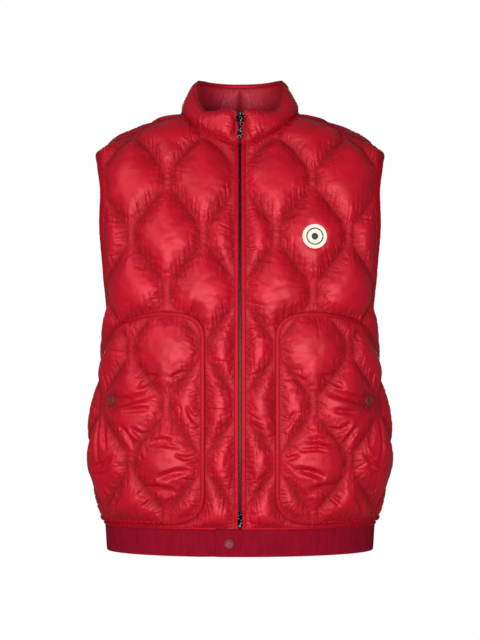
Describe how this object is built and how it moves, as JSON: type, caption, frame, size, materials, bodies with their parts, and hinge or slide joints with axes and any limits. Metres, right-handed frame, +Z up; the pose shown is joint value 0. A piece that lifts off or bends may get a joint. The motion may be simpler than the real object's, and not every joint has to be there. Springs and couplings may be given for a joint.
{
  "type": "puffer vest",
  "caption": "Sleeveless quilted down puffer vest: padded stand collar, full front zip, patch pockets with snaps and a ribbed snap waistband; hollow, filled out as worn",
  "frame": {"origin": "The middle of the base of the neck, level with the side-neck points and midway between the armholes, where the wearer's neck and shoulders hold the vest up", "axes": "+X to the wearer's left, -Y out of the front, +Y out of the back, +Z up"},
  "size_m": [0.4696, 0.2557, 0.7321],
  "materials": {
    "shell": "satin",
    "tape": "satin",
    "band": "matte",
    "metal": "satin",
    "snap": "satin",
    "patch": "matte"
  },
  "bodies": {
    "vest": {"front_left": "shell", "front_right": "shell", "back": "shell", "collar": "shell", "pocket_left": "shell", "pocket_right": "shell", "pocket_edge_left": "tape", "pocket_edge_right": "tape", "pocket_binding_left": "tape", "pocket_binding_right": "tape", "armhole_binding_left": "tape", "armhole_binding_right": "tape", "front_binding_left": "tape", "front_binding_right": "tape", "zip_tape_left": "tape", "zip_tape_right": "tape", "zip_slider": "metal", "zip_box": "metal", "waistband": "band", "waistband_snap": "snap", "pocket_snap_left": "snap", "pocket_snap_right": "snap", "chest_patch": "patch"},
    "pull": {"zip_pull": "metal"}
  },
  "joints": [
    {"name": "pull_swing", "type": "hinge", "parent": "vest", "child": "pull", "pos_m": [0, -0.07984, -0.00371], "axis": [-1, 0, 0], "range_deg": [0, 170]}
  ]
}
